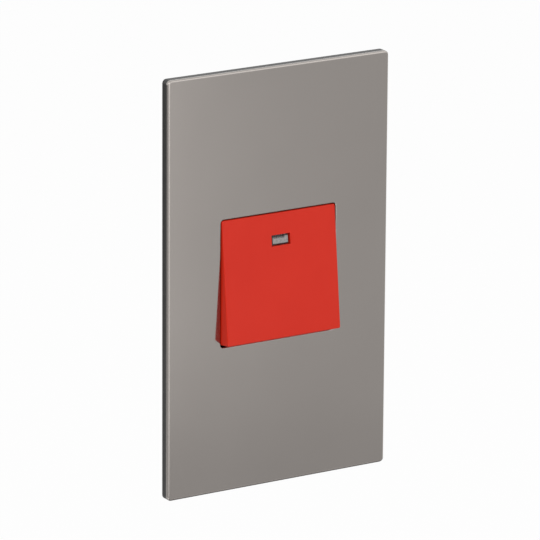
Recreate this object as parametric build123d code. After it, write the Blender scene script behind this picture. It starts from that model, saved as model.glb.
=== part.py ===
from build123d import *

import os
from math import cos, pi, radians, sin, tan

# Double pole wall switch on a tall plate, with one rocker, two see-saw contacts and a neon indicator.
# Millimetres. The wall is the plane y = 0, the room is towards -Y and +Z is up. The origin is the
# middle of the plate, on the wall. The rocker is modelled switched off, with its top pressed in.

# Front plate and the carrier behind it
plate_width = 86.0
plate_height = 146.0
plate_projection = 3.7
plate_corner_radius = 1.5
plate_edge_rounding = 0.6
sheet_thickness = 1.2
aperture_gap = 0.3
aperture_edge_chamfer = 0.2
carrier_rim = 2.0

# Mounting frame and the hooks that hold the carrier to it
frame_sheet = 1.0
frame_edge_gap = 0.3
box_screw_inset = 12.7
box_slot_width = 4.2
box_slot_length = 8.4
box_screw_head_room = 9.0
hook_inset_x = 9.5
hook_inset_z = 17.0
hook_width = 6.0
hook_leg = 1.4
hook_nib = 0.8
hook_nib_length = 1.6
hook_overrun = 0.9
hook_gap = 0.15

# Rocker
rocker_width = 44.4
rocker_height = 43.0
rocker_skirt = 7.0
rocker_wall = 1.6
rocker_front_wall = 1.8
rocker_draft = 2.0
rocker_corner_radius = 0.8
rocker_edge_rounding = 0.4
rocker_tilt = 5.9
face_to_pivot = 6.0
rocker_rise = 0.27
rocker_side_gap = 0.6
rocker_stop_gap = 0.3
rib_thickness = 1.4
rib_depth = 2.2

# Neon window, lens, lamp and its resistor
window_width = 7.3
window_height = 3.8
window_offset = 12.1
window_shift = 0.4
lens_gap = 0.1
lens_border = 0.6
lens_setback = 0.5
lens_step_setback = 1.4
lens_flange = 0.9
lens_lamp_gap = 0.4
lamp_diameter = 4.4
lamp_sink = 0.4
resistor_diameter = 2.4
resistor_length = 6.5
cradle_gap = 0.05
lead_diameter = 0.6
lead_sides = 12
lead_run = 1.3
lead_hole_gap = 0.2

# Housing and base mouldings
housing_wall = 1.6
housing_floor = 1.8
collar_setback = 0.3
collar_frame_gap = 0.4
flange_thickness = 2.5
flange_side = 3.0
base_wall = 1.6
base_floor = 2.0
base_side = 8.4
base_end_cover = 3.0
base_edge_chamfer = 0.8
wire_mouth_flare = 0.8
screw_recess = 0.3
pocket_gap = 0.1

# Pivot pin and its snap-in bearings
pin_diameter = 3.0
pin_running_gap = 0.05
pin_seat_gap = 0.02
pin_end_gap = 0.1
bearing_wall = 1.7
bearing_socket = 3.0
bearing_stop = 1.0
bearing_throat = 2.6

# Rocker posts, springs and plungers
pole_spacing = 19.0
post_diameter = 8.0
post_reach = 9.5
post_side_gap = 0.5
post_slot_gap = 0.5
plunger_diameter = 4.0
plunger_gap = 0.08
plunger_reach = 13.0
plunger_guide = 3.4
spring_length = 3.0
spring_diameter = 3.4
spring_wire = 0.5
spring_turns = 3.5
spring_lengths_per_turn = 10

# See-saw contact arms and their tips
arm_width = 8.0
arm_thickness = 1.0
arm_swing = 15.0
arm_tail = 8.0
wing_setback = 0.65
arm_tip_margin = 0.4
bead_radius = 1.0
bead_gap = 0.15
plunger_arm_gap = 0.25
tip_reach = 11.0
tip_size = 5.0
tip_height = 1.2
tip_crown_radius = 6.0
contact_gap = 0.12

# Contact bars, tunnel terminals and their clamp screws
bar_thickness = 1.2
bar_width = 10.8
bar_flange = 9.5
chamber_half_length = 16.5
terminal_width = 10.8
terminal_length = 12.0
terminal_edge_chamfer = 0.4
tunnel_diameter = 6.4
tunnel_front_wall = 1.0
terminal_thread = 3.6
clamp_screw_diameter = 5.0
clamp_screw_length = 6.0
thread_gap = 0.05
screw_slot_width = 1.0
screw_slot_depth = 1.4

# Earth terminal on the mounting frame
earth_inset = 27.0
earth_block = 8.0
earth_tunnel_diameter = 4.2
earth_tunnel_wall = 1.6
earth_thread = 2.6
earth_tenon = 4.0
earth_tenon_gap = 0.05
earth_screw_diameter = 4.0
earth_screw_length = 5.0

# Screws through the base and the housing into the mounting frame
module_screw_diameter = 2.4
module_screw_head = 4.4
module_screw_head_height = 2.0
module_screw_inset = 3.5
screw_hole_gap = 0.15

# Places worked out from the sizes above
tilt_sin = sin(radians(rocker_tilt))
tilt_cos = cos(radians(rocker_tilt))
swing_sin = sin(radians(arm_swing / 2))
swing_cos = cos(radians(arm_swing / 2))
skirt_flare = rocker_skirt * tan(radians(rocker_draft))

plate_front = -plate_projection
sheet_rear = plate_front + sheet_thickness
frame_front = -frame_sheet
box_screw_z = plate_height / 2 - box_screw_inset
hook_x = plate_width / 2 - hook_inset_x
hook_z = plate_height / 2 - hook_inset_z
pivot_y = plate_front + face_to_pivot * tilt_cos - (rocker_height / 2 + rocker_rise) * tilt_sin
rocker_sweep = face_to_pivot * tilt_sin + rocker_height / 2 * tilt_cos
aperture_middle = rocker_rise * tilt_cos
rocker_top = rocker_sweep + aperture_middle
skirt_rear = rocker_skirt - face_to_pivot
window_z = rocker_rise + window_offset

collar_front = sheet_rear + collar_setback
floor_front = (pivot_y + skirt_rear * tilt_cos
               + (rocker_height / 2 + rocker_rise + skirt_flare) * tilt_sin + rocker_stop_gap)
floor_rear = floor_front + housing_floor
well_x = rocker_width / 2 + skirt_flare + rocker_side_gap
well_z = rocker_top + rocker_side_gap
collar_x = well_x + housing_wall
collar_z = well_z + housing_wall
flange_x = collar_x + flange_side

pole_x = pole_spacing / 2
pin_radius = pin_diameter / 2
bearing_inner = pole_x + post_diameter / 2 + post_side_gap
bearing_radius = pin_radius + bearing_wall

bead_seat = bead_radius + bead_gap
fulcrum_y = pivot_y + plunger_reach + plunger_arm_gap + arm_thickness + bead_seat
crown_centre = wing_setback + tip_height - tip_crown_radius
closed_reach = tip_crown_radius + crown_centre * swing_cos + tip_reach * swing_sin
fixed_tip_face = fulcrum_y + closed_reach + contact_gap
fixed_tip_z = tip_reach * swing_cos - crown_centre * swing_sin
bar_front = fixed_tip_face + tip_height
bar_rear = bar_front + bar_thickness

tunnel_radius = tunnel_diameter / 2
terminal_front = bar_rear - bar_flange
tunnel_y = terminal_front + tunnel_front_wall + tunnel_radius
terminal_rear = tunnel_y + tunnel_radius + terminal_thread
clamp_screw_tip = tunnel_y + tunnel_radius
base_rear = clamp_screw_tip + clamp_screw_length + screw_recess
bay_front = terminal_front - pocket_gap
chamber_x = max(bar_width, terminal_width) / 2 + pocket_gap
base_x = pole_x + chamber_x + base_side
base_z = chamber_half_length + terminal_length + base_end_cover
module_screw_seat = floor_rear + base_floor
module_screw_z = base_z - module_screw_inset

earth_z = earth_inset - plate_height / 2
earth_tunnel_radius = earth_tunnel_diameter / 2
earth_tunnel_y = earth_tunnel_wall + earth_tunnel_radius

lamp_radius = lamp_diameter / 2
lamp_y = floor_front + lamp_sink - lamp_radius
lamp_z = face_to_pivot * tilt_sin + window_z * tilt_cos
lead_wall_room = chamber_x - arm_width / 2
inner_lead_x = pole_x - chamber_x + lead_wall_room / 2
outer_lead_x = pole_x + chamber_x - lead_wall_room / 2
lamp_end = inner_lead_x - lead_run
resistor_end = outer_lead_x - lead_run
resistor_start = resistor_end - resistor_length

poles = {"line": -1, "neutral": 1}


def block(x, y, z):
    """A box from three (low, high) pairs."""
    size = Box(x[1] - x[0], y[1] - y[0], z[1] - z[0])
    return Pos((x[0] + x[1]) / 2, (y[0] + y[1]) / 2, (z[0] + z[1]) / 2) * size


def slab(width, height, front, back, radius=0.0, taper=0.0, x=0.0, z=0.0):
    """A plate that faces the room, from its front to its back, with rounded corners."""
    outline = RectangleRounded(width, height, radius) if radius else Rectangle(width, height)
    return Pos(x, back, z) * extrude(Plane.XZ * outline, back - front, taper=taper)


def rod_x(radius, low, high, y=0.0, z=0.0):
    """A round bar along X."""
    return Pos((low + high) / 2, y, z) * Rot(0, 90, 0) * Cylinder(radius, high - low)


def rod_y(radius, low, high, x=0.0, z=0.0):
    """A round bar along Y."""
    return Pos(x, (low + high) / 2, z) * Rot(90, 0, 0) * Cylinder(radius, high - low)


def rod_z(radius, low, high, x=0.0, y=0.0):
    """A round bar along Z."""
    return Pos(x, y, (low + high) / 2) * Cylinder(radius, high - low)


def cut_corners(solid, size):
    """Chamfers the edges that run along Y."""
    return chamfer(solid.edges().filter_by(Axis.Y), size)


def front_edges(solid):
    """The edges of the face that is furthest towards the room."""
    return solid.faces().sort_by(Axis.Y)[0].edges()


def seat_rocker(shape):
    """Moves a shape from the rocker's own frame, level with its pivot at the origin, to switched off."""
    return Pos(0, pivot_y, 0) * Rot(-rocker_tilt, 0, 0) * shape


def seat_arm(side, shape):
    """Moves a shape from a contact arm's own frame, level on its fulcrum, to the open contact."""
    return Pos(side * pole_x, fulcrum_y, 0) * Rot(arm_swing / 2, 0, 0) * shape


def front_plate():
    """Flat stainless sheet: rounded outer edges and a square aperture with chamfered edges."""
    sheet = slab(plate_width, plate_height, plate_front, sheet_rear, plate_corner_radius)
    sheet = fillet(front_edges(sheet), plate_edge_rounding)
    aperture_x = rocker_width / 2 + aperture_gap
    aperture_z = rocker_sweep + aperture_gap
    corner = rocker_corner_radius + aperture_gap
    sheet -= slab(2 * aperture_x, 2 * aperture_z, plate_front, sheet_rear, corner, z=aperture_middle)
    inner = sheet.faces().sort_by(Axis.Y)[0].inner_wires()[0].edges()
    return chamfer(inner, aperture_edge_chamfer)


def hook_places():
    """Places (x, z) of the six snap hooks: three down each side."""
    return [(sx * hook_x, sz * hook_z) for sx in (-1, 1) for sz in (-1, 0, 1)]


def snap_hook():
    """One hook in its own frame: a leg along +Y from the web's back, with a ramped nib towards +X."""
    end = hook_nib_length + hook_overrun
    points = [(0, frame_front), (hook_leg, frame_front), (hook_leg, 0), (hook_leg + hook_nib, 0),
              (hook_leg + hook_nib, hook_overrun), (hook_leg, end), (0, end)]
    leg = extrude(Polygon(*points, align=None), hook_width)
    return Pos(-hook_leg / 2, 0, -hook_width / 2) * leg


def carrier_frame():
    """Black frame behind the sheet: a rim down to the wall, a web, and snap hooks behind the web."""
    frame = slab(plate_width, plate_height, sheet_rear, 0, plate_corner_radius)
    frame -= slab(plate_width - 2 * carrier_rim, plate_height - 2 * carrier_rim, frame_front, 0)
    frame -= slab(2 * (collar_x + collar_frame_gap), 2 * (collar_z + collar_frame_gap), sheet_rear, frame_front)
    for side in (-1, 1):
        frame -= slab(box_screw_head_room, box_screw_head_room, sheet_rear, frame_front, z=side * box_screw_z)
    for x, z in hook_places():
        hook = snap_hook() if x > 0 else Rot(0, 0, 180) * mirror(snap_hook(), Plane.XZ)
        frame += Pos(x, 0, z) * hook
    return frame


def mounting_frame():
    """Steel frame against the wall: box slots, hook slots, a window for the collar and screw holes."""
    width = plate_width - 2 * (carrier_rim + frame_edge_gap)
    height = plate_height - 2 * (carrier_rim + frame_edge_gap)
    frame = cut_corners(slab(width, height, frame_front, 0), plate_corner_radius)
    frame -= slab(2 * (collar_x + collar_frame_gap), 2 * (collar_z + collar_frame_gap), frame_front, 0)
    slot = SlotOverall(box_slot_length, box_slot_width, rotation=90)
    tapped = module_screw_diameter / 2 + thread_gap
    for side in (-1, 1):
        frame -= Pos(0, 0, side * box_screw_z) * extrude(Plane.XZ * slot, frame_sheet)
        frame -= rod_y(tapped, frame_front, 0, z=side * module_screw_z)
    hook_inside = hook_leg / 2 + hook_nib + 2 * hook_gap
    hook_outside = hook_leg / 2 + hook_gap
    half_width = hook_width / 2 + hook_gap
    for x, z in hook_places():
        edges = sorted((x - hook_inside * x / abs(x), x + hook_outside * x / abs(x)))
        frame -= block(edges, (frame_front, 0), (z - half_width, z + half_width))
    tenon_hole = earth_tenon + 2 * earth_tenon_gap
    return frame - slab(tenon_hole, tenon_hole, frame_front, 0, z=earth_z)


def pivot_bearing():
    """Snap-in bearing for the right end of the pin: an ear with a round socket, open to the room."""
    inner = bearing_inner
    outer = bearing_inner + bearing_socket + bearing_stop
    room = block((inner, outer), (pivot_y - bearing_radius, floor_front), (-bearing_radius, bearing_radius))
    stem = block((inner, outer), (pivot_y, floor_front), (-bearing_radius, bearing_radius))
    ear = stem + (rod_x(bearing_radius, inner, outer, y=pivot_y) & room)
    socket = rod_x(pin_radius + pin_seat_gap, inner, inner + bearing_socket, y=pivot_y)
    throat = block((inner, inner + bearing_socket), (pivot_y - bearing_radius, pivot_y),
                   (-bearing_throat / 2, bearing_throat / 2))
    return ear - socket - throat


def switch_housing():
    """Front moulding: collar round the rocker, fixing flange, floor with bearings, slots and cradles."""
    housing = cut_corners(slab(2 * collar_x, 2 * collar_z, collar_front, floor_rear), housing_wall)
    housing += cut_corners(slab(2 * flange_x, 2 * base_z, 0, flange_thickness), housing_wall)
    housing += cut_corners(slab(2 * base_x, 2 * base_z, floor_front, floor_rear), housing_wall)
    screw_hole = module_screw_diameter / 2 + screw_hole_gap
    post = screw_hole + housing_wall
    for end in (-1, 1):
        post_z = sorted((end * collar_z, end * base_z))
        housing += block((-post, post), (0, floor_rear), post_z)
        housing -= rod_y(screw_hole, 0, floor_rear, z=end * module_screw_z)
    housing -= slab(2 * well_x, 2 * well_z, collar_front, floor_front)
    bearing = pivot_bearing()
    housing += bearing
    housing += mirror(bearing, Plane.YZ)
    slot_x = post_diameter / 2 + post_slot_gap
    slot_z = post_diameter / 2 + post_reach * tilt_sin + post_slot_gap
    for side in poles.values():
        centre = side * pole_x
        housing -= block((centre - slot_x, centre + slot_x), (floor_front, floor_rear), (-slot_z, slot_z))
    rest = resistor_diameter / 2
    cradle_x = (resistor_start, resistor_end)
    housing += block(cradle_x, (lamp_y, floor_front), (lamp_z - rest, lamp_z + rest))
    housing -= rod_x(rest + cradle_gap, *cradle_x, y=lamp_y, z=lamp_z)
    housing -= block(cradle_x, (lamp_y - rest, lamp_y + rest * tilt_sin), (lamp_z - rest, lamp_z + rest))
    cradle_end = lamp_end + cradle_gap
    housing -= rod_x(lamp_radius + cradle_gap, -cradle_end, cradle_end, y=lamp_y, z=lamp_z)
    lead_hole = lead_diameter / 2 + lead_hole_gap
    for x in (-inner_lead_x, outer_lead_x):
        housing -= rod_y(lead_hole, floor_front, floor_rear, x, lamp_z)
    return housing


def wire_mouth():
    """Cutter that flares the outer end of an upper terminal bay, so that a wire finds its way in."""
    depth = base_rear - bay_front
    opening = Pos(0, bay_front + depth / 2, base_z - wire_mouth_flare) * Rectangle(2 * chamber_x, depth)
    return extrude(opening, wire_mouth_flare, taper=-45)


def switch_base():
    """Rear moulding: two contact chambers, four terminal bays open behind, and a barrier groove."""
    base = cut_corners(slab(2 * base_x, 2 * base_z, floor_rear, base_rear), housing_wall)
    base = chamfer(base.faces().sort_by(Axis.Y)[-1].edges(), base_edge_chamfer)
    chamber_z = chamber_half_length
    mouth = wire_mouth()
    for side in poles.values():
        x = (side * pole_x - chamber_x, side * pole_x + chamber_x)
        base -= block(x, (floor_rear, bar_rear), (-chamber_z, chamber_z))
        for end in (-1, 1):
            bay = sorted((end * chamber_z, end * base_z))
            base -= block(x, (bay_front, base_rear), bay)
            base -= Pos(side * pole_x, 0, 0) * (mouth if end > 0 else mirror(mouth, Plane.XY))
            hollow = sorted((end * (chamber_z + base_wall), end * (base_z - base_wall)))
            base -= block(x, (floor_rear, bay_front - base_wall), hollow)
        hollow_x = sorted((side * (pole_x + chamber_x + base_wall), side * (base_x - base_wall)))
        hollow_z = base_z - 2 * base_wall
        base -= block(hollow_x, (floor_rear, bar_rear), (-hollow_z, hollow_z))
    barrier_x = pole_x - chamber_x - base_wall
    base -= block((-barrier_x, barrier_x), (module_screw_seat, base_rear), (-base_z, base_z))
    rear_z = chamber_z - base_wall
    base -= block((-base_x + base_wall, base_x - base_wall), (bar_rear + base_floor, base_rear), (-rear_z, rear_z))
    for end in (-1, 1):
        screw_hole = module_screw_diameter / 2 + screw_hole_gap
        base -= rod_y(screw_hole, floor_rear, module_screw_seat, z=end * module_screw_z)
    return base


def pivot_pin():
    """Steel pin that the rocker turns on, held at its ends."""
    half = bearing_inner + bearing_socket - pin_end_gap
    return rod_x(pin_radius, -half, half, y=pivot_y)


def rocker():
    """Red rocker: drafted shell, two hollow posts on the pivot, stiffening ribs and the lamp window."""
    front = -face_to_pivot
    inside = front + rocker_front_wall
    shell = slab(rocker_width + 2 * skirt_flare, rocker_height + 2 * skirt_flare, front, skirt_rear,
                 rocker_corner_radius, rocker_draft, z=rocker_rise)
    shell = fillet(front_edges(shell), rocker_edge_rounding)
    hollow_x = rocker_width / 2 + skirt_flare - rocker_wall
    hollow_z = rocker_height / 2 + skirt_flare - rocker_wall
    shell -= slab(2 * hollow_x, 2 * hollow_z, inside, skirt_rear, taper=rocker_draft, z=rocker_rise)
    rib_half = rib_thickness / 2
    rib_rear = inside + rib_depth
    rib_end_x = bearing_inner - post_side_gap
    rib_reach = hollow_z - skirt_flare
    rib_z = (rocker_rise - rib_reach, rocker_rise + rib_reach)
    shell += block((-rib_end_x, rib_end_x), (inside, rib_rear), (-rib_half, rib_half))
    bore_end = post_reach - plunger_guide - spring_length
    for side in poles.values():
        centre = side * pole_x
        shell += block((centre - rib_half, centre + rib_half), (inside, rib_rear), rib_z)
        shell += rod_y(post_diameter / 2, inside, post_reach, centre)
        shell -= rod_y(plunger_diameter / 2 + plunger_gap, bore_end, post_reach, centre)
    shell -= rod_x(pin_radius + pin_running_gap, -bearing_inner, bearing_inner)
    shell -= Pos(window_shift, 0, 0) * slab(window_width, window_height, front, inside, z=window_z)
    return seat_rocker(shell)


def neon_lens():
    """Clear stepped lens: a flange behind the rocker's wall, a plug in the window and a raised pad."""
    front = -face_to_pivot
    inside = front + rocker_front_wall
    flange_height = window_height + 2 * lens_border
    lamp_front = lamp_y - lamp_radius
    highest = window_z + flange_height / 2
    rear = (lamp_front - lens_lamp_gap - pivot_y - highest * tilt_sin) / tilt_cos
    plug_width = window_width - 2 * lens_gap
    plug_height = window_height - 2 * lens_gap
    lens = slab(window_width + 2 * lens_border, flange_height, inside, inside + lens_flange, z=window_z)
    lens += slab(plug_width, plug_height, front + lens_step_setback, rear, z=window_z)
    lens += slab(plug_width - 2 * lens_border, plug_height - 2 * lens_border, front + lens_setback, inside,
                 z=window_z)
    return seat_rocker(Pos(window_shift, 0, 0) * lens)


def coil_spring(side):
    """Compression spring behind the plunger: a coil of short straight lengths, with ground ends."""
    low = post_reach - plunger_guide - spring_length
    radius = (spring_diameter - spring_wire) / 2
    count = round(spring_turns * spring_lengths_per_turn)
    points = []
    for step in range(count + 1):
        angle = 2 * pi * step / spring_lengths_per_turn
        points.append((radius * cos(angle), radius * sin(angle), spring_length * step / count))
    route = Polyline(*points)
    section = Plane(route @ 0, z_dir=route % 0) * RegularPolygon(spring_wire / 2, 6)
    wire = sweep(section, path=route, transition=Transition.RIGHT)
    wire &= Pos(0, 0, spring_length / 2) * Cylinder(spring_diameter, spring_length)
    return seat_rocker(Pos(side * pole_x, low, 0) * Rot(-90, 0, 0) * wire)


def plunger(side):
    """Plunger that slides in the rocker's post, with its nose rounded across the arm."""
    radius = plunger_diameter / 2
    start = post_reach - plunger_guide
    nose = plunger_reach - radius
    profile = block((-radius, radius), (start, nose), (-radius, radius)) + rod_x(radius, -radius, radius, y=nose)
    return seat_rocker(Pos(side * pole_x, 0, 0) * (rod_y(radius, start, plunger_reach) & profile))


def contact_arm(side):
    """See-saw strip: a channel that rides on the bead, with a flat wing above and below, in balance."""
    half = arm_width / 2
    outer = bead_seat + arm_thickness
    wing_top = tip_reach + tip_size / 2 + arm_tip_margin
    width = (-half, half)
    arm = rod_x(outer, *width) & block(width, (-outer, 0), (-outer, outer))
    arm += block(width, (wing_setback - arm_thickness, wing_setback), (-arm_tail, wing_top))
    arm -= block(width, (0, outer), (-bead_seat, bead_seat))
    arm -= rod_x(bead_seat, *width)
    return seat_arm(side, arm)


def moving_tip(side):
    """Square silver tip with a crowned face, on the back of the arm's upper wing."""
    half = tip_size / 2
    pad = block((-half, half), (wing_setback, wing_setback + tip_height), (tip_reach - half, tip_reach + half))
    return seat_arm(side, pad & rod_x(tip_crown_radius, -half, half, y=crown_centre, z=tip_reach))


def fixed_tip(side):
    """Square, flat silver tip on the front of the load bar."""
    return slab(tip_size, tip_size, fixed_tip_face, bar_front, x=side * pole_x, z=fixed_tip_z)


def bar_strip(low, high):
    """Flat stretch of a contact bar on the chamber's floor."""
    half = bar_width / 2
    return block((-half, half), (bar_front, bar_rear), (low, high))


def bar_end(end):
    """Upturned end of a contact bar, which closes the terminal's tunnel."""
    half = bar_width / 2
    z = sorted((end * (chamber_half_length - bar_thickness), end * chamber_half_length))
    return block((-half, half), (terminal_front, bar_rear), z)


def feed_bar(side):
    """Copper bar from the lower terminal to the bead that the arm rocks on."""
    half = arm_width / 2
    bar = bar_strip(-chamber_half_length, bar_thickness / 2) + bar_end(-1)
    bar += block((-half, half), (fulcrum_y, bar_rear), (-bar_thickness / 2, bar_thickness / 2))
    bar += rod_x(bead_radius, -half, half, y=fulcrum_y)
    return Pos(side * pole_x, 0, 0) * bar


def load_bar(side):
    """Copper bar from the fixed tip to the upper terminal."""
    low = fixed_tip_z - tip_size / 2 - arm_tip_margin
    return Pos(side * pole_x, 0, 0) * (bar_strip(low, chamber_half_length) + bar_end(1))


def tunnel_terminal(side, end):
    """Brass block with a wire tunnel along Z and a tapped hole from behind; end is 1 above, -1 below."""
    half = terminal_width / 2
    z = sorted((end * chamber_half_length, end * (chamber_half_length + terminal_length)))
    body = block((-half, half), (terminal_front, terminal_rear), z)
    body = chamfer(body.edges().filter_by(Axis.Z), terminal_edge_chamfer)
    body -= rod_z(tunnel_radius, *z, y=tunnel_y)
    tapped = clamp_screw_diameter / 2 + thread_gap
    body -= rod_y(tapped, tunnel_y, terminal_rear, 0, sum(z) / 2)
    return Pos(side * pole_x, 0, 0) * body


def slotted_screw(diameter, length):
    """Headless clamp screw in its own frame, tip at the origin, with a driver slot behind."""
    screw = rod_y(diameter / 2, 0, length)
    half = screw_slot_width / 2
    screw -= block((-diameter, diameter), (length - screw_slot_depth, length), (-half, half))
    return screw


def terminal_screws():
    """The four clamp screws, backed out so that the tunnels are clear."""
    screw = slotted_screw(clamp_screw_diameter, clamp_screw_length)
    z = chamber_half_length + terminal_length / 2
    places = [(side * pole_x, end * z) for side in (-1, 1) for end in (-1, 1)]
    return Compound(children=[Pos(x, clamp_screw_tip, z) * screw for x, z in places])


def module_screws():
    """Two slotted screws from behind, through the base and the housing into the mounting frame."""
    head_rear = module_screw_seat + module_screw_head_height
    reach = module_screw_head / 2
    half = screw_slot_width / 2
    screw = rod_y(module_screw_diameter / 2, frame_front, module_screw_seat)
    screw += rod_y(reach, module_screw_seat, head_rear)
    screw -= block((-reach, reach), (head_rear - screw_slot_depth / 2, head_rear), (-half, half))
    return Compound(children=[Pos(0, 0, end * module_screw_z) * screw for end in (-1, 1)])


def earth_terminal():
    """Brass block staked to the mounting frame, with a tunnel along X and a tapped hole from behind."""
    half = earth_block / 2
    rear = earth_tunnel_y + earth_tunnel_radius + earth_thread
    body = block((-half, half), (0, rear), (-half, half))
    body = chamfer(body.edges().filter_by(Axis.Y), terminal_edge_chamfer)
    body += slab(earth_tenon, earth_tenon, frame_front, 0)
    body -= rod_x(earth_tunnel_radius, -half, half, y=earth_tunnel_y)
    body -= rod_y(earth_screw_diameter / 2 + thread_gap, earth_tunnel_y, rear)
    return Pos(0, 0, earth_z) * body


def earth_screw():
    """Clamp screw of the earth terminal, backed out."""
    screw = slotted_screw(earth_screw_diameter, earth_screw_length)
    return Pos(0, earth_tunnel_y + earth_tunnel_radius, earth_z) * screw


def neon_lamp():
    """Small glass lamp in its cradle behind the window."""
    return rod_x(lamp_radius, -lamp_end, lamp_end, y=lamp_y, z=lamp_z)


def neon_resistor():
    """Ballast resistor in series with the lamp."""
    return rod_x(resistor_diameter / 2, resistor_start, resistor_end, y=lamp_y, z=lamp_z)


def bent_lead(start_x, bar_x):
    """A wire along X from the lamp's axis, bent back through the floor to the front of a load bar."""
    route = Polyline((start_x, lamp_y, lamp_z), (bar_x, lamp_y, lamp_z), (bar_x, bar_front, lamp_z))
    section = Plane(route @ 0, z_dir=route % 0) * RegularPolygon(lead_diameter / 2, lead_sides)
    return sweep(section, path=route, transition=Transition.RIGHT)


def neon_leads():
    """The wires: lamp to line load bar, lamp to resistor, resistor to neutral load bar."""
    link = rod_x(lead_diameter / 2, lamp_end, resistor_start, y=lamp_y, z=lamp_z)
    left = bent_lead(-lamp_end, -inner_lead_x)
    right = bent_lead(resistor_end, outer_lead_x)
    return Compound(children=[left, link, right])


parts = {
    "front_plate": front_plate(),
    "carrier_frame": carrier_frame(),
    "mounting_frame": mounting_frame(),
    "switch_housing": switch_housing(),
    "switch_base": switch_base(),
    "pivot_pin": pivot_pin(),
    "rocker": rocker(),
    "neon_lens": neon_lens(),
    "terminal_screws": terminal_screws(),
    "module_screws": module_screws(),
    "earth_terminal": earth_terminal(),
    "earth_screw": earth_screw(),
    "neon_lamp": neon_lamp(),
    "neon_resistor": neon_resistor(),
    "neon_leads": neon_leads(),
}
for name, side in poles.items():
    parts[f"{name}_spring"] = coil_spring(side)
    parts[f"{name}_plunger"] = plunger(side)
    parts[f"{name}_contact_arm"] = contact_arm(side)
    parts[f"{name}_moving_tip"] = moving_tip(side)
    parts[f"{name}_fixed_tip"] = fixed_tip(side)
    parts[f"{name}_feed_bar"] = feed_bar(side)
    parts[f"{name}_load_bar"] = load_bar(side)
    parts[f"{name}_feed_terminal"] = tunnel_terminal(side, -1)
    parts[f"{name}_load_terminal"] = tunnel_terminal(side, 1)

os.makedirs("parts", exist_ok=True)
for name, shape in parts.items():
    export_step(shape, f"parts/{name}.step")

print("pivot at y", round(pivot_y, 3), "arm fulcrum at y", round(fulcrum_y, 3))
print("depth behind the wall", round(base_rear, 2))
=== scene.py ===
# %% [markdown]
# A double pole wall switch: a tall satin steel plate on a black carrier, with one red rocker that has a
# small lamp window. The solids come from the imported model, so this lesson dresses them: it sets the
# camera and the light, mixes one finish for each real material, and adds the fine pieces that a solid
# model leaves out, such as screw threads, round-wound springs and the inside of the lamp.

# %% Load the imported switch
from math import cos, radians, sin

import bmesh
import bpy
import numpy as np
from mathutils import Matrix, Vector


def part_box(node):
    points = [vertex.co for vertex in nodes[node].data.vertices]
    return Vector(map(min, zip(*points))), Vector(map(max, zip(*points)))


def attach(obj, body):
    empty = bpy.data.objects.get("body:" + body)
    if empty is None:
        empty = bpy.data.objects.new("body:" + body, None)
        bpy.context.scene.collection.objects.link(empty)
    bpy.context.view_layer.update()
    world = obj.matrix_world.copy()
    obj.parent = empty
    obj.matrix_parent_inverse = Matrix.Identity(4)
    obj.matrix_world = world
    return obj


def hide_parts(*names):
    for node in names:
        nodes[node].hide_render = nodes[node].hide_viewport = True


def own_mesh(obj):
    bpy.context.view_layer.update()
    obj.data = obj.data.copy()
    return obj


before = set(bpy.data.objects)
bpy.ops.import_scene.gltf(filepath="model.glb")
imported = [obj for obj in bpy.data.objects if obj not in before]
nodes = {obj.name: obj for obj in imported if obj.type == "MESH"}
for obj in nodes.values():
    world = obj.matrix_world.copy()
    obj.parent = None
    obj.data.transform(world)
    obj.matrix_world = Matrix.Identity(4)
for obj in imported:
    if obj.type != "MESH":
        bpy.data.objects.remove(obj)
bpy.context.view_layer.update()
scene = bpy.context.scene
mm = 0.001

# %% [markdown]
# The camera. A product picture like this one is taken with a long lens from about 1.7 m, so that the
# plate's edges stay nearly parallel. A camera could be aimed with a constraint, but three angles are
# easier to read and to change: yaw to the side, pitch downwards and a touch of roll.

# %% Directions of the camera
camera_place = Vector((-0.867199, -1.431143, 0.493012))
camera_yaw = radians(31.183)
camera_pitch = radians(16.379)
camera_roll = radians(0.358)

level_right = Vector((cos(camera_yaw), -sin(camera_yaw), 0.0))
level_ahead = Vector((sin(camera_yaw), cos(camera_yaw), 0.0))
forward = level_ahead * cos(camera_pitch) - Vector((0.0, 0.0, sin(camera_pitch)))
level_up = level_right.cross(forward)
right = level_right * cos(camera_roll) + level_up * sin(camera_roll)
up = level_up * cos(camera_roll) - level_right * sin(camera_roll)
print("camera looks along", [round(value, 3) for value in forward])

# %% Camera at the picture's viewing angle
camera_lens_mm = 344.56
sensor_width_mm = 36.0

camera_data = bpy.data.cameras.new("picture_camera")
camera_data.lens = camera_lens_mm
camera_data.sensor_width = sensor_width_mm
camera_data.clip_start = 0.05
camera_data.clip_end = 20.0
camera = bpy.data.objects.new("picture_camera", camera_data)
camera.matrix_world = Matrix((
    (right.x, up.x, -forward.x, camera_place.x),
    (right.y, up.y, -forward.y, camera_place.y),
    (right.z, up.z, -forward.z, camera_place.z),
    (0.0, 0.0, 0.0, 1.0),
))
scene.collection.objects.link(camera)
scene.camera = camera
print("camera stands", round(camera_place.length, 2), "m away")

# %% [markdown]
# The surroundings. A light tent is white all round, and the steel mirrors it. A picture of a studio
# could be wrapped round the scene instead, but a plain world is enough here: white for rays that come
# from the camera, a mirror or a lens, and dimmer for the light it gives, so that lamps can still model
# the shapes. Light Path tells these rays apart.

# %% Rays that see white
def seen_rays(tree):
    """1 for a ray from the camera, a mirror or a lens, and 0 for the rest: the largest of three flags."""
    rays = tree.nodes.new("ShaderNodeLightPath")
    flag = rays.outputs["Is Camera Ray"]
    for name in ("Is Glossy Ray", "Is Transmission Ray"):
        larger = tree.nodes.new("ShaderNodeMath")
        larger.operation = "MAXIMUM"
        tree.links.new(flag, larger.inputs[0])
        tree.links.new(rays.outputs[name], larger.inputs[1])
        flag = larger.outputs["Value"]
    return flag


print("ray flags ready")

# %% White surroundings
scene.view_settings.view_transform = "Standard"
tent_light = 0.57

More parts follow.
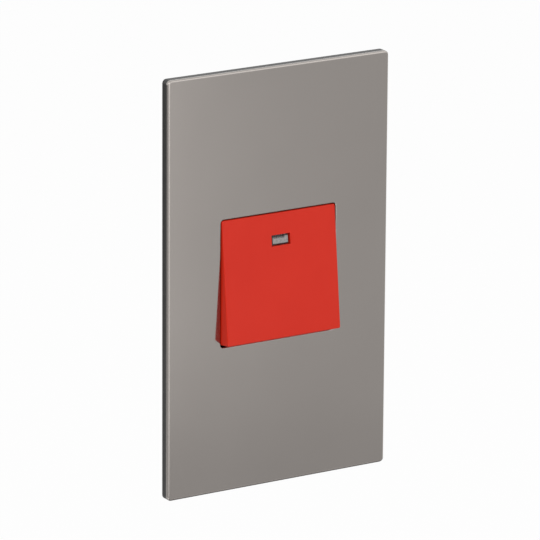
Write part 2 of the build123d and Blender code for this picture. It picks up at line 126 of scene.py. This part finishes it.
world = bpy.data.worlds.new("light_tent")
scene.world = world
world.use_nodes = True
tree = world.node_tree
tree.nodes.clear()
strength = tree.nodes.new("ShaderNodeMapRange")
strength.inputs["To Min"].default_value = tent_light
strength.inputs["To Max"].default_value = 1.0
tree.links.new(seen_rays(tree), strength.inputs["Value"])
background = tree.nodes.new("ShaderNodeBackground")
background.inputs["Color"].default_value = (1.0, 1.0, 1.0, 1.0)
tree.links.new(strength.outputs["Result"], background.inputs["Strength"])
output = tree.nodes.new("ShaderNodeOutputWorld")
tree.links.new(background.outputs["Background"], output.inputs["Surface"])
print("tent light", tent_light)

# %% [markdown]
# The floor. It lies well below the switch, which hangs in the air as in the picture. A shadow catcher
# would hide it, but a real sheet also throws light up from below. Most of what the camera sees of it is
# plain white, and the rest is a pale matt surface that takes the soft shadow.

# %% Floor sheet
floor_level = -0.30
floor_half = 6.0

floor_mesh = bpy.data.meshes.new("floor")
floor_mesh.from_pydata(
    [(-floor_half, -floor_half, floor_level), (floor_half, -floor_half, floor_level),
     (floor_half, floor_half, floor_level), (-floor_half, floor_half, floor_level)], [], [(0, 1, 2, 3)])
floor = bpy.data.objects.new("floor", floor_mesh)
scene.collection.objects.link(floor)
print("floor at", floor_level)

# %% Pale paper that keeps the shadow
floor_white_share = 0.96
floor_grey = 0.90

floor_paper = bpy.data.materials.new("floor_paper")
floor_paper.use_nodes = True
tree = floor_paper.node_tree
tree.nodes.clear()
share = tree.nodes.new("ShaderNodeMath")
share.operation = "MULTIPLY"
share.inputs[1].default_value = floor_white_share
tree.links.new(seen_rays(tree), share.inputs[0])
matt = tree.nodes.new("ShaderNodeBsdfDiffuse")
matt.inputs["Color"].default_value = (floor_grey, floor_grey, floor_grey, 1.0)
white = tree.nodes.new("ShaderNodeEmission")
white.inputs["Color"].default_value = (1.0, 1.0, 1.0, 1.0)
white.inputs["Strength"].default_value = 1.0
mix = tree.nodes.new("ShaderNodeMixShader")
tree.links.new(share.outputs["Value"], mix.inputs["Fac"])
tree.links.new(matt.outputs["BSDF"], mix.inputs[1])
tree.links.new(white.outputs["Emission"], mix.inputs[2])
output = tree.nodes.new("ShaderNodeOutputMaterial")
tree.links.new(mix.outputs["Shader"], output.inputs["Surface"])
floor_mesh.materials.append(floor_paper)
print("floor paper", floor_grey)

# %% [markdown]
# The lamps. Soft boxes are squares of even light, and the camera doesn't see them. The key box models
# the rocker from the upper left, a weak side box opens the shade on the left, the top box draws the
# bright line on the plate's top edge, and a small box below lifts the rocker's lower edge. Point lamps
# would be simpler, but they leave hard glints on steel.

# %% Soft boxes
def soft_box(name, place, aim, side, power):
    """A square lamp with sides in metres at one point, facing another; power is in watts."""
    lamp = bpy.data.lights.new(name, "AREA")
    lamp.shape = "SQUARE"
    lamp.size = side
    lamp.energy = power
    box = bpy.data.objects.new(name, lamp)
    place = Vector(place)
    turn = (Vector(aim) - place).to_track_quat("-Z", "Y")
    box.matrix_world = Matrix.Translation(place) @ turn.to_matrix().to_4x4()
    box.visible_camera = False
    scene.collection.objects.link(box)
    return box


soft_boxes = [
    soft_box("key_box", (-0.8, -1.2, 1.1), (0, 0, 0), 0.9, 9.0),
    soft_box("side_box", (-0.85, -0.2, 0.45), (0, 0, 0), 0.5, 0.8),
    soft_box("top_box", (0.45, -0.59, 0.51), (0, 0, 0), 0.8, 1.5),
    soft_box("under_box", (-0.12, -0.12, -0.29), (0, 0, -0.02), 0.16, 0.12),
]
print("lamps", [box.name for box in soft_boxes])

# %% [markdown]
# Cards for the steel to mirror. In a studio, sheets of paper of graded tone stand round bright metal, out
# of the picture, because the metal shows the paper and not the lamps. A lamp with a gradient could do it
# too, but it would also light the plastic. Here each card is a plane that glows about as paper in the
# tent would, and only mirrors and lenses see it. Ramps along its axes set the tone.

# %% Tones along a card
def tone_ramp(tree, axis, stops):
    """A tone along one axis of the card, linear between stops of (metres, tone) in rising order."""
    place = tree.nodes.new("ShaderNodeTexCoord")
    split = tree.nodes.new("ShaderNodeSeparateXYZ")
    along = tree.nodes.new("ShaderNodeMapRange")
    along.inputs["From Min"].default_value = stops[0][0]
    along.inputs["From Max"].default_value = stops[-1][0]
    ramp = tree.nodes.new("ShaderNodeValToRGB")
    marks = ramp.color_ramp.elements
    while len(marks) < len(stops):
        marks.new(0.5)  # anywhere; each gets its own place below
    span = stops[-1][0] - stops[0][0]
    for mark, (metres, tone) in zip(marks, stops):
        mark.position = (metres - stops[0][0]) / span
        mark.color = (tone, tone, tone, 1.0)
    tree.links.new(place.outputs["Object"], split.inputs["Vector"])
    tree.links.new(split.outputs[axis], along.inputs["Value"])
    tree.links.new(along.outputs["Result"], ramp.inputs["Fac"])
    return ramp.outputs["Color"]


def card_paper(name, plain, across=None, upward=None):
    """Paper that glows with plain(z), or with plain(z) + across(x) * upward(z)."""
    paper = bpy.data.materials.new(name)
    paper.use_nodes = True
    tree = paper.node_tree
    tree.nodes.clear()
    strength = tree.nodes.new("ShaderNodeMath")
    strength.operation = "MULTIPLY_ADD"
    strength.inputs[0].default_value = 0.0
    tree.links.new(tone_ramp(tree, "Z", plain), strength.inputs[2])
    if across:
        tree.links.new(tone_ramp(tree, "X", across), strength.inputs[0])
        tree.links.new(tone_ramp(tree, "Z", upward), strength.inputs[1])
    glow = tree.nodes.new("ShaderNodeEmission")
    tree.links.new(strength.outputs["Value"], glow.inputs["Strength"])
    output = tree.nodes.new("ShaderNodeOutputMaterial")
    tree.links.new(glow.outputs["Emission"], output.inputs["Surface"])
    return paper


print("card paper ready")

# %% Cards that only mirrors see
def graded_card(name, corners, paper):
    """One flat card on four corners, without shade or light on matt surfaces."""
    mesh = bpy.data.meshes.new(name)
    mesh.from_pydata(corners, [], [(0, 1, 2, 3)])
    mesh.materials.append(paper)
    card = bpy.data.objects.new(name, mesh)
    card.visible_camera = False
    card.visible_diffuse = False
    card.visible_shadow = False
    scene.collection.objects.link(card)
    print(name, "from", corners[0], "to", corners[2])


def upright(left, right, y, foot, head):
    """Corners of an upright card that faces along Y."""
    return [(left, y, foot), (right, y, foot), (right, y, head), (left, y, head)]


card_foot = -0.29
print("cards start at", card_foot)

# %% [markdown]
# The front cards. The plate's face mirrors the front card, which is brighter at its left end and dims
# towards its foot, so the plate falls from light to darker to the right and at the bottom. The left card
# goes on where the front card ends. Its bright end shows only in the plate's rounded left edge, as a thin
# light line.

# %% Front and left cards
front_y = -0.45
front_head = 0.02
front_left = 0.16
front_right = 0.90
front_plain = [(card_foot, 0.61), (-0.245, 0.64), (-0.215, 0.70), (front_head, 0.70)]
front_across = [(front_left, 0.86), (0.195, 0.39), (0.215, 0.214), (0.235, 0.143), (0.271, 0.086),
                (0.31, 0.03), (0.34, 0.035), (front_right, 0.035)]
front_upward = [(card_foot, 0.0), (-0.225, 0.02), (-0.19, 0.6), (-0.165, 1.0), (front_head, 1.0)]
graded_card("front_card", upright(front_left, front_right, front_y, card_foot, front_head),
            card_paper("front_card", front_plain, front_across, front_upward))

left_end = -0.12
left_plain = [(card_foot, 0.40), (-0.24, 0.45), (-0.218, 0.88), (front_head, 0.95)]
left_across = [(left_end, 0.0), (0.055, 0.0), (0.09, 1.60), (front_left, 1.80)]
left_upward = [(card_foot, 0.0), (-0.24, 0.0), (-0.218, 0.85), (front_head, 1.20)]
graded_card("left_card", upright(left_end, front_left, front_y, card_foot, front_head),
            card_paper("left_card", left_plain, left_across, left_upward))

# %% [markdown]
# The darker cards. The plate's left side and the carrier's rim mirror a rear card that is dim at the top
# and lighter at its foot. A card low over the floor keeps the plate's lower edge dark, and one at the far
# left does the same for its rounded left side. In white surroundings alone these edges would vanish.

# %% Rear, foot and side cards
rear_y = 0.30
rear_half = 0.45
rear_head = 0.04
rear_plain = [(card_foot, 0.90), (-0.19, 0.68), (-0.13, 0.42), (-0.10, 0.33), (-0.02, 0.20),
              (rear_head, 0.20)]
graded_card("rear_card", upright(-rear_half, rear_half, rear_y, card_foot, rear_head),
            card_paper("rear_card", rear_plain))

foot_left = -0.10
foot_right = 0.45
foot_front = -0.25
foot_back = 0.28
foot_z = -0.26
foot_tone = 0.29
foot_corners = [(foot_left, foot_front, foot_z), (foot_right, foot_front, foot_z),
                (foot_right, foot_back, foot_z), (foot_left, foot_back, foot_z)]
graded_card("foot_card", foot_corners, card_paper("foot_card", [(card_foot, foot_tone), (0.0, foot_tone)]))

side_x = -0.5
side_front = -0.16
side_tone = 0.5
side_corners = [(side_x, side_front, card_foot), (side_x, rear_y, card_foot),
                (side_x, rear_y, rear_head), (side_x, side_front, rear_head)]
graded_card("side_card", side_corners, card_paper("side_card", [(card_foot, side_tone), (0.0, side_tone)]))

# %% [markdown]
# What every finish shares. A finish is one Principled shader. Values that are the same all over sit on
# its own sockets, and what varies comes from noise in the piece's own coordinates, so that it stays in
# place from any side. A painted picture would need unwrapping; noise needs none.

# %% Start a finish
def start_finish(name, metallic=0.0, roughness=0.5, specular=0.5):
    """An empty material with one Principled shader, returned with its node tree."""
    finish = bpy.data.materials.new(name)
    finish.use_nodes = True
    tree = finish.node_tree
    tree.nodes.clear()
    shader = tree.nodes.new("ShaderNodeBsdfPrincipled")
    shader.inputs["Metallic"].default_value = metallic
    shader.inputs["Roughness"].default_value = roughness
    shader.inputs["Specular IOR Level"].default_value = specular
    output = tree.nodes.new("ShaderNodeOutputMaterial")
    tree.links.new(shader.outputs["BSDF"], output.inputs["Surface"])
    return finish, tree, shader


def paint(finish, *names):
    """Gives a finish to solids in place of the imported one."""
    for name in names:
        slots = nodes[name].data.materials
        slots.clear()
        slots.append(finish)
    print(finish.name, "on", ", ".join(names))


print("finishes can start")

# %% Noise, colour and roughness
usual_low = 0.3
usual_high = 0.7


def noise(tree, scale, detail=3.0, stretch=(1.0, 1.0, 1.0)):
    """Noise between 0 and 1 in the piece's own metres; stretch multiplies the coordinates first."""
    place = tree.nodes.new("ShaderNodeTexCoord")
    mapping = tree.nodes.new("ShaderNodeMapping")
    mapping.inputs["Scale"].default_value = stretch
    grain = tree.nodes.new("ShaderNodeTexNoise")
    grain.inputs["Scale"].default_value = scale
    grain.inputs["Detail"].default_value = detail
    tree.links.new(place.outputs["Object"], mapping.inputs["Vector"])
    tree.links.new(mapping.outputs["Vector"], grain.inputs["Vector"])
    return grain.outputs["Fac"]


def vary_colour(tree, shader, value, first, second):
    """Base colour that goes from first to second as the noise goes over its usual span."""
    ramp = tree.nodes.new("ShaderNodeValToRGB")
    for mark, position, colour in zip(ramp.color_ramp.elements, (usual_low, usual_high), (first, second)):
        mark.position = position
        mark.color = (*colour, 1.0)
    tree.links.new(value, ramp.inputs["Fac"])
    tree.links.new(ramp.outputs["Color"], shader.inputs["Base Color"])


def vary_roughness(tree, shader, value, low, high):
    """Roughness that goes from low to high as the noise goes over its usual span."""
    node = tree.nodes.new("ShaderNodeMapRange")
    node.inputs["From Min"].default_value = usual_low
    node.inputs["From Max"].default_value = usual_high
    node.inputs["To Min"].default_value = low
    node.inputs["To Max"].default_value = high
    tree.links.new(value, node.inputs["Value"])
    tree.links.new(node.outputs["Result"], shader.inputs["Roughness"])


print("noise helpers ready")

# %% [markdown]
# Relief. Bump gives the texture of a surface without more faces, and a little Bevel under it softens the
# sharp edges of the solids, as moulding and polishing do. Real fillets on every edge would cost many
# faces for a light line that is one pixel wide.

# %% Relief on softened edges
bevel_samples = 6


def relief(tree, shader, value, depth, strength, soft_edge=0.0):
    """Bump of that depth in metres over the surface, on edges softened to that radius."""
    bump = tree.nodes.new("ShaderNodeBump")
    bump.inputs["Strength"].default_value = strength
    bump.inputs["Distance"].default_value = depth
    tree.links.new(value, bump.inputs["Height"])
    if soft_edge:
        bevel = tree.nodes.new("ShaderNodeBevel")
        bevel.samples = bevel_samples
        bevel.inputs["Radius"].default_value = soft_edge
        tree.links.new(bevel.outputs["Normal"], bump.inputs["Normal"])
    tree.links.new(bump.outputs["Normal"], shader.inputs["Normal"])


print("relief ready")

# %% [markdown]
# Satin steel. The sheet is brushed very finely from top to bottom and then dulled, so it mirrors the
# room only as broad light and dark, but still shows the rocker's side close by. Noise stretched along Z
# gives the brush lines, in the bump and in the roughness, and a broad noise moves the colour by a hair.

# %% Satin steel of the front plate
along_z = (1.0, 1.0, 0.02)
satin_steel, tree, shader = start_finish("satin_steel", metallic=1.0)
brush = noise(tree, 9000.0, 2.0, along_z)
vary_colour(tree, shader, noise(tree, 18.0), (0.353, 0.325, 0.3045), (0.371, 0.342, 0.3206))
vary_roughness(tree, shader, brush, 0.09, 0.13)
relief(tree, shader, brush, 0.003 * mm, 0.08, 0.42 * mm)
paint(satin_steel, "front_plate")

# %% [markdown]
# Mouldings. The carrier and the housing are black and matt with the fine spark texture of a moulding
# tool. The rocker is smooth red plastic with a low sheen, and the base is the pale, slightly yellow
# plastic that stands up to heat. One noise moves the colour a little, as flow in the tool does, and a
# finer one makes the texture.

# %% Black, red and pale mouldings
black_moulding, tree, shader = start_finish("black_moulding", roughness=0.42, specular=0.45)
vary_colour(tree, shader, noise(tree, 260.0), (0.016, 0.016, 0.015), (0.024, 0.023, 0.022))
relief(tree, shader, noise(tree, 5200.0, 2.0), 0.02 * mm, 0.25, 0.2 * mm)
paint(black_moulding, "carrier_frame", "switch_housing")

red_moulding, tree, shader = start_finish("red_moulding", roughness=0.42, specular=0.25)
vary_colour(tree, shader, noise(tree, 55.0), (0.603, 0.0163, 0.0032), (0.626, 0.0190, 0.0044))
relief(tree, shader, noise(tree, 2600.0, 2.0), 0.008 * mm, 0.15, 0.15 * mm)
paint(red_moulding, "rocker")

pale_moulding, tree, shader = start_finish("pale_moulding", roughness=0.48, specular=0.4)
vary_colour(tree, shader, noise(tree, 140.0), (0.70, 0.66, 0.58), (0.75, 0.71, 0.63))
relief(tree, shader, noise(tree, 4200.0, 2.0), 0.02 * mm, 0.2, 0.3 * mm)
paint(pale_moulding, "switch_base")

# %% [markdown]
# Sheet and turned metal. The mounting frame is pressed steel with bright zinc, which dries in soft blue
# and yellow clouds. Terminals are drilled brass with fine drawn lines along Z, and the bars and arms are
# stamped copper with the lines of rolled strip. Stretched noise gives the lines, plain noise the clouds.

# %% Zinc, brass and copper
zinc_steel, tree, shader = start_finish("zinc_steel", metallic=1.0)
vary_colour(tree, shader, noise(tree, 70.0, 4.0), (0.56, 0.58, 0.62), (0.66, 0.66, 0.64))
vary_roughness(tree, shader, noise(tree, 160.0, 2.0), 0.28, 0.38)
relief(tree, shader, noise(tree, 700.0, 2.0), 0.004 * mm, 0.1, 0.1 * mm)
paint(zinc_steel, "mounting_frame", "module_screws")

brass, tree, shader = start_finish("brass", metallic=1.0)
vary_colour(tree, shader, noise(tree, 160.0), (0.70, 0.47, 0.17), (0.78, 0.55, 0.23))
drawn_lines = noise(tree, 4200.0, 1.0, (1.0, 1.0, 0.04))
vary_roughness(tree, shader, drawn_lines, 0.24, 0.32)
relief(tree, shader, drawn_lines, 0.003 * mm, 0.1, 0.2 * mm)
paint(brass, "line_feed_terminal", "line_load_terminal", "neutral_feed_terminal", "neutral_load_terminal",
      "terminal_screws", "earth_terminal", "earth_screw")

copper, tree, shader = start_finish("copper", metallic=1.0)
vary_colour(tree, shader, noise(tree, 130.0), (0.66, 0.30, 0.17), (0.76, 0.38, 0.23))
strip_lines = noise(tree, 6000.0, 2.0, (1.0, 1.0, 0.05))
vary_roughness(tree, shader, strip_lines, 0.24, 0.40)
relief(tree, shader, strip_lines, 0.008 * mm, 0.15, 0.15 * mm)
paint(copper, "line_contact_arm", "neutral_contact_arm", "line_feed_bar", "neutral_feed_bar",
      "line_load_bar", "neutral_load_bar")

# %% [markdown]
# Small bright metals. The contact tips are silver, a little cloudy from handling. The pin and the springs
# are drawn steel, darker, and the lamp's wires are tinned. At their size bump would be lost, so only the
# colour and the roughness vary.

# %% Silver, spring steel and tinned wire
silver, tree, shader = start_finish("silver", metallic=1.0)
vary_colour(tree, shader, noise(tree, 700.0), (0.78, 0.76, 0.72), (0.88, 0.87, 0.85))
vary_roughness(tree, shader, noise(tree, 4000.0), 0.18, 0.34)
paint(silver, "line_moving_tip", "neutral_moving_tip", "line_fixed_tip", "neutral_fixed_tip")

spring_steel, tree, shader = start_finish("spring_steel", metallic=1.0)
vary_colour(tree, shader, noise(tree, 500.0), (0.42, 0.42, 0.43), (0.52, 0.52, 0.53))
vary_roughness(tree, shader, noise(tree, 5000.0), 0.20, 0.34)
paint(spring_steel, "line_spring", "neutral_spring", "pivot_pin")

tinned_wire, tree, shader = start_finish("tinned_wire", metallic=1.0)
vary_colour(tree, shader, noise(tree, 900.0), (0.66, 0.66, 0.65), (0.76, 0.76, 0.75))
vary_roughness(tree, shader, noise(tree, 5000.0), 0.25, 0.40)
paint(tinned_wire, "neon_leads")

# %% [markdown]
# The plungers and the lamp circuit. The plungers are natural nylon, milky rather than white, so a little
# light passes under their surface. The lamp is clear glass, and the resistor is a lacquered ceramic rod,
# with the lacquer as a thin coat over the body.

# %% Nylon, glass and ceramic
nylon, tree, shader = start_finish("nylon", roughness=0.4, specular=0.4)
vary_colour(tree, shader, noise(tree, 400.0), (0.80, 0.78, 0.70), (0.86, 0.84, 0.77))
shader.inputs["Subsurface Weight"].default_value = 0.3
shader.inputs["Subsurface Radius"].default_value = (1.0 * mm, 1.0 * mm, 0.8 * mm)
relief(tree, shader, noise(tree, 3000.0), 0.01 * mm, 0.15)
paint(nylon, "line_plunger", "neutral_plunger")

lamp_glass, tree, shader = start_finish("lamp_glass", roughness=0.04)
vary_colour(tree, shader, noise(tree, 500.0), (0.92, 0.92, 0.90), (0.97, 0.97, 0.96))
shader.inputs["Transmission Weight"].default_value = 0.95
shader.inputs["IOR"].default_value = 1.48
paint(lamp_glass, "neon_lamp")

resistor_body, tree, shader = start_finish("resistor_body", roughness=0.35)
vary_colour(tree, shader, noise(tree, 1800.0), (0.50, 0.36, 0.20), (0.58, 0.43, 0.25))
shader.inputs["Coat Weight"].default_value = 0.3
relief(tree, shader, noise(tree, 2600.0), 0.02 * mm, 0.2)
paint(resistor_body, "neon_resistor")

# %% [markdown]
# The lens. It is clear plastic with a frosted pad on its face, so it looks grey while the lamp behind it
# is off. Along the top of the pad a strip is left clear, so the dark inside shows there as painted shade
# in place of the shadow under the window's top edge, and the strip's frosted ends are painted glints.
# Two meshes could do it, but the lens is one moulding: masks along the rocker's own directions drive its
# transmission.
# do it, but the lens is one moulding: masks along the rocker's own directions drive its transmission.

# %% Masks along a direction
rocker_tilt = radians(5.9)
into_wall = Vector((0, cos(rocker_tilt), -sin(rocker_tilt)))
face_up = Vector((0, sin(rocker_tilt), cos(rocker_tilt)))


def fade(tree, direction, start, end):
    """1 up to start and 0 past end, in metres along a direction in the piece's own coordinates."""
    place = tree.nodes.new("ShaderNodeTexCoord")
    along = tree.nodes.new("ShaderNodeVectorMath")
    along.operation = "DOT_PRODUCT"
    along.inputs[1].default_value = direction
    node = tree.nodes.new("ShaderNodeMapRange")
    node.inputs["From Min"].default_value = start
    node.inputs["From Max"].default_value = end
    node.inputs["To Min"].default_value = 1.0
    node.inputs["To Max"].default_value = 0.0
    tree.links.new(place.outputs["Object"], along.inputs[0])
    tree.links.new(along.outputs["Value"], node.inputs["Value"])
    return node.outputs["Result"]


def combine(tree, operation, first, second):
    """One value times another or less another, kept between 0 and 1."""
    node = tree.nodes.new("ShaderNodeMath")
    node.operation = operation
    node.use_clamp = True
    tree.links.new(first, node.inputs[0])
    tree.links.new(second, node.inputs[1])
    return node.outputs["Value"]


print("masks ready")

# %% Lens with a frosted pad, and a clear strip of painted shade between painted glints
clear_share = 0.95
frosted_share = 0.45
pad_face = (-5.4 * mm, -5.1 * mm)
strip_foot = (-13.4 * mm, -12.7 * mm)
strip_right = (1.7 * mm, 2.3 * mm)
strip_left = (2.0 * mm, 2.8 * mm)

clear_lens, tree, shader = start_finish("clear_lens", roughness=0.05, specular=0.5)
vary_colour(tree, shader, noise(tree, 1400.0), (0.44, 0.41, 0.405), (0.635, 0.605, 0.59))
front_pad = fade(tree, into_wall, *pad_face)
above_pad = fade(tree, -face_up, *strip_foot)
left_of_end = fade(tree, (1, 0, 0), *strip_right)
right_of_end = fade(tree, (-1, 0, 0), *strip_left)
# The clear strip shows the dark inside as painted shade under the window's top edge; its frosted ends are
# painted glints.
between_ends = combine(tree, "MULTIPLY", left_of_end, right_of_end)
painted_shade_strip = combine(tree, "MULTIPLY", between_ends, above_pad)
frost_and_painted_glints = combine(tree, "SUBTRACT", front_pad, painted_shade_strip)
passing = tree.nodes.new("ShaderNodeMapRange")
passing.inputs["To Min"].default_value = clear_share
passing.inputs["To Max"].default_value = frosted_share
tree.links.new(frost_and_painted_glints, passing.inputs["Value"])
tree.links.new(passing.outputs["Result"], shader.inputs["Transmission Weight"])
relief(tree, shader, noise(tree, 2500.0), 0.01 * mm, 0.2)
paint(clear_lens, "neon_lens")

# %% [markdown]
# New pieces are grids of points worked out with numpy and handed to a mesh. Every piece here is closed,
# so its faces can be turned outwards in one step, and its edges stay sharp where they are sharper than a
# set angle. Each piece rides on the body that carries it and hides the plain solid that it stands for.

# %% Helpers for new pieces
sharp_angle = radians(38)


def tube_grid(rows, columns):
    """Index of each point of a grid, and the quads of a tube whose last column joins the first."""
    index = np.arange(rows * columns).reshape(rows, columns)
    following = np.roll(index, -1, axis=1)
    quads = np.stack((index[:-1], following[:-1], following[1:], index[1:]), axis=-1)
    return index, quads


def repeat(points, faces, places):
    """The same shape at several places: points shifted by each place, faces by the points before them."""
    shifted = (points[None] + np.asarray(places)[:, None]).reshape(-1, 3)
    starts = np.arange(len(places)) * len(points)
    copies = [(np.asarray(face) + start).tolist() for start in starts for face in faces]
    return shifted, copies


def add_piece(name, points, faces, finish, slot, body, *replaced):
    """One mesh piece from points in metres and faces of any size, on its body, in place of solids."""
    mesh = bpy.data.meshes.new(name)
    mesh.from_pydata(points.tolist(), [], faces)
    shape = bmesh.new()
    shape.from_mesh(mesh)
    bmesh.ops.recalc_face_normals(shape, faces=shape.faces)
    shape.to_mesh(mesh)
    shape.free()
    mesh.polygons.foreach_set("use_smooth", np.ones(len(mesh.polygons), dtype=bool))
    mesh.set_sharp_from_angle(angle=sharp_angle)
    mesh.materials.append(finish)
    piece = bpy.data.objects.new(name, mesh)
    scene.collection.objects.link(piece)
    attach(piece, body)
    if replaced:
        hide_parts(*replaced)
    print(name, len(mesh.polygons), "faces")
    return piece


print("pieces can be added")

# %% [markdown]
# Clamp screws. A grub screw has a helical thread, a cone at its tip and a driver slot. It could be cut
# from a cylinder with Booleans, but a grid is cleaner: round the axis run the columns, along it the rows,
# and the thread is a wave in the radius that climbs one pitch in a turn. Four columns follow the slot's
# edges, so the slot is simply left out of the grid and closed with flat faces.

# %% Thread as a wave in the radius
thread_depth = 0.55
groove_slope = 1.3
crest_flat = 0.2
tip_drop = 0.7
head_drop = 0.4


def thread_radius(y, angle, radius, length, pitch):
    """Full radius less a flattened triangle wave of (y / pitch - angle / turn), in a cone at both ends."""
    wave = np.abs(2 * ((y / pitch - angle / (2 * np.pi)) % 1) - 1)
    groove = np.clip(groove_slope * wave - crest_flat, 0, 1)
    cut = radius - thread_depth * pitch * groove
    tip_cone = radius - tip_drop * pitch + y
    head_cone = radius - head_drop * pitch + (length - y)
    return np.minimum(cut, np.minimum(tip_cone, head_cone))


print("thread depth", thread_depth, "of the pitch")

# %% Faces of a slotted screw
def slotted_faces(index, quads, slot_row, corners):
    """The tube's quads without the slot's mouths, and flat faces on tip, head, slot floor and slot sides."""
    a0, a1, b0, b1 = corners
    keep = np.ones(quads.shape[:2], dtype=bool)
    keep[slot_row:, a0:a1] = False
    keep[slot_row:, b0:b1] = False
    tip = index[0]
    head_above = index[-1, a1:b0 + 1]
    head_below = np.append(index[-1, b1:], index[-1, a0])
    slot_floor = np.concatenate((index[slot_row, a0:a1 + 1], index[slot_row, b0:b1 + 1]))
    side_above = np.concatenate((index[slot_row:, a1], index[slot_row:, b0][::-1]))
    side_below = np.concatenate((index[slot_row:, b1], index[slot_row:, a0][::-1]))
    flats = (tip, head_above, head_below, slot_floor, side_above, side_below)
    return quads[keep].tolist() + [flat.tolist() for flat in flats]


print("screw faces ready")

# %% Threaded clamp screw
def threaded_screw(radius, length, pitch, slot_width, slot_depth, mouth=6, arc=26, steps=10):
    """A slotted screw along +Y with its tip at the origin: (r cos a, y, r sin a) on a grid of y and a."""
    half = slot_width / 2
    edge = np.arcsin(half / radius)
    across = np.linspace(-edge, edge, mouth + 1)[:-1]
    around = np.linspace(edge, np.pi - edge, arc + 1)[:-1]
    angle = np.concatenate((across, around, across + np.pi, around + np.pi))
    corners = np.array((0, mouth, mouth + arc, 2 * mouth + arc))
    shank = length - slot_depth
    below = np.linspace(0, shank, round(shank / pitch * steps) + 1)
    above = np.linspace(shank, length, round(slot_depth / pitch * steps) + 1)
    y, a = np.meshgrid(np.concatenate((below, above[1:])), angle, indexing="ij")
    r = thread_radius(y, a, radius, length, pitch)
    x, z = r * np.cos(a), r * np.sin(a)
    z[:, corners] = half * np.array((-1, 1, 1, -1))
    x[:, corners] = np.sqrt(r[:, corners] ** 2 - half ** 2) * np.array((1, 1, -1, -1))
    index, quads = tube_grid(*y.shape)
    faces = slotted_faces(index, quads, len(below) - 1, corners)
    return np.stack((x, y, z), axis=-1).reshape(-1, 3), faces


print("screw shape ready")

# %% Screws in the terminals
screw_slot_width = 1.0 * mm
screw_slot_depth = 1.4 * mm
clamp_radius = 2.5 * mm
clamp_pitch = 0.8 * mm
earth_pitch = 0.7 * mm

low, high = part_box("terminal_screws")
points, faces = threaded_screw(clamp_radius, high.y - low.y, clamp_pitch,
                               screw_slot_width, screw_slot_depth)
places = [(x, low.y, z) for x in (low.x + clamp_radius, high.x - clamp_radius)
          for z in (low.z + clamp_radius, high.z - clamp_radius)]
points, faces = repeat(points, faces, places)
add_piece("clamp_screws", points, faces, brass, "brass", "fixed_frame", "terminal_screws")

low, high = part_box("earth_screw")
earth_radius = (high.x - low.x) / 2
points, faces = threaded_screw(earth_radius, high.y - low.y, earth_pitch,
                               screw_slot_width, screw_slot_depth)
points, faces = repeat(points, faces, [(low.x + earth_radius, low.y, low.z + earth_radius)])
add_piece("earth_clamp_screw", points, faces, brass, "brass", "fixed_frame", "earth_screw")

# %% [markdown]
# Springs. Each pole's plunger is pushed by a short coil spring in the rocker's post. The wire's middle is
# a helix whose ends are wound close and ground flat. A curve with a bevel could make it, but on a grid
# the flat ground ends come from one clip of the height.

# %% Shape of a coil spring
close_turns = 0.75
ground_share = 0.5


def coil_spring(coil_radius, wire_radius, length, turns, rows=150, columns=14):
    """A coil along +Y: (R + w cos b) out along angle a, and y(a) + w sin b up, cut flat at both ends."""
    turn = np.linspace(0, turns, rows)[:, None]
    b = np.linspace(0, 2 * np.pi, columns, endpoint=False)[None, :]
    climb = 2 * wire_radius * close_turns
    start = ground_share * wire_radius
    middle = np.interp(turn, (0, close_turns, turns - close_turns, turns),
                       (start, start + climb, length - start - climb, length - start))
    a = 2 * np.pi * turn
    out = coil_radius + wire_radius * np.cos(b)
    y = np.clip(middle + wire_radius * np.sin(b), 0, length)
    points = np.stack((out * np.cos(a), y, out * np.sin(a)), axis=-1)
    index, quads = tube_grid(rows, columns)
    faces = quads.reshape(-1, 4).tolist() + [index[0].tolist(), index[-1].tolist()]
    return points.reshape(-1, 3), faces


print("coil shape ready")

# %% Springs in the rocker's posts
spring_length = 3.0 * mm
spring_turns = 3.5
coil_radius = 1.45 * mm
wire_radius = 0.25 * mm

lean = np.array(((1, 0, 0), into_wall, face_up))
for pole in ("line", "neutral"):
    low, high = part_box(f"{pole}_spring")
    front_end = (low + high) / 2 - into_wall * spring_length / 2
    points, faces = coil_spring(coil_radius, wire_radius, spring_length, spring_turns)
    points = points @ lean + np.array(front_end)
    coil = add_piece(f"{pole}_coil", points, faces, spring_steel, "spring_steel", "rocker_body",
                     f"{pole}_spring")
    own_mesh(coil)

# %% [markdown]
# Inside the lamp. A neon lamp is a glass bead with two short electrodes in line, with a gap between them.
# Each is a rod of revolution about X with round ends, dark from use. A capsule from Blender's own shapes
# would need scaling; the grid is made at its size and place.

# %% Shape of an electrode
first_angle = 0.12


def round_rod(radius, start, end, steps=8, columns=20):
    """A rod along X: radius times the sine of an angle that opens at one end and closes at the other."""
    opening = np.linspace(first_angle, np.pi / 2, steps)
    rise = radius * (1 - np.cos(opening))
    x = np.concatenate((start + rise, end - rise[::-1]))[:, None]
    r = radius * np.sin(np.concatenate((opening, opening[::-1])))[:, None]
    a = np.linspace(0, 2 * np.pi, columns, endpoint=False)[None, :]
    points = np.stack((x + 0 * a, r * np.cos(a), r * np.sin(a)), axis=-1)
    index, quads = tube_grid(len(x), columns)
    faces = quads.reshape(-1, 4).tolist() + [index[0].tolist(), index[-1].tolist()]
    return points.reshape(-1, 3), faces


print("rod shape ready")

# %% Lamp electrodes
electrode_radius = 0.45 * mm
electrode_start = 0.35 * mm
electrode_end = 3.0 * mm

electrode_nickel, tree, shader = start_finish("electrode_nickel", metallic=1.0)
vary_colour(tree, shader, noise(tree, 1500.0), (0.06, 0.055, 0.05), (0.12, 0.11, 0.10))
vary_roughness(tree, shader, noise(tree, 4000.0), 0.35, 0.55)

low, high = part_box("neon_lamp")
lamp_middle = (low + high) / 2
other_side = lamp_middle - Vector((electrode_start + electrode_end, 0, 0))
points, faces = round_rod(electrode_radius, electrode_start, electrode_end)
points, faces = repeat(points, faces, [tuple(lamp_middle), tuple(other_side)])
add_piece("lamp_electrodes", points, faces, electrode_nickel, "tinned_wire", "fixed_frame")
